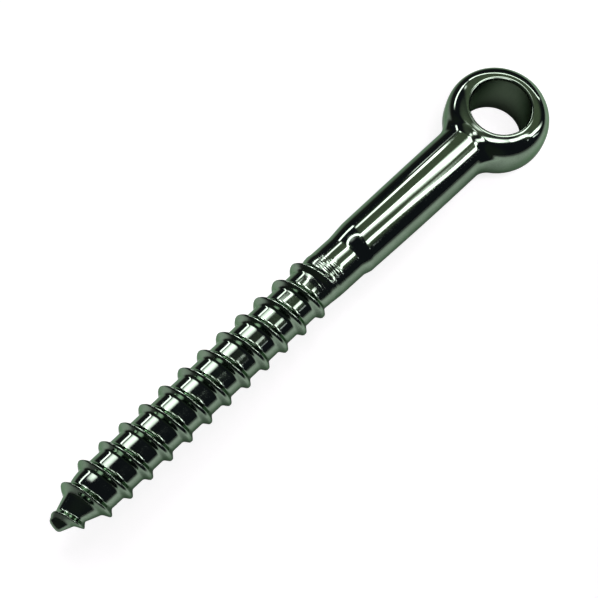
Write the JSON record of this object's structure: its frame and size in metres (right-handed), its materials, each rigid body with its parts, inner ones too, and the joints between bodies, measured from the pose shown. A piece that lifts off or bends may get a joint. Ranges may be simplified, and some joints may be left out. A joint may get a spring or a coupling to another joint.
{
  "type": "screw eye",
  "caption": "One-piece screw eye: a drilled barrel-shaped eye on a round shank that ends in a coarse right-hand wood thread with a blunt point.",
  "frame": {"origin": "middle of the hole through the eye", "axes": "+Z along the hole, the shank along X with its tip towards -X"},
  "size_m": [0.0934, 0.0156, 0.0086],
  "materials": {
    "steel": "polished stainless steel with a slight green-grey cast"
  },
  "bodies": {
    "root": {"screw_eye": "steel"}
  },
  "joints": []
}
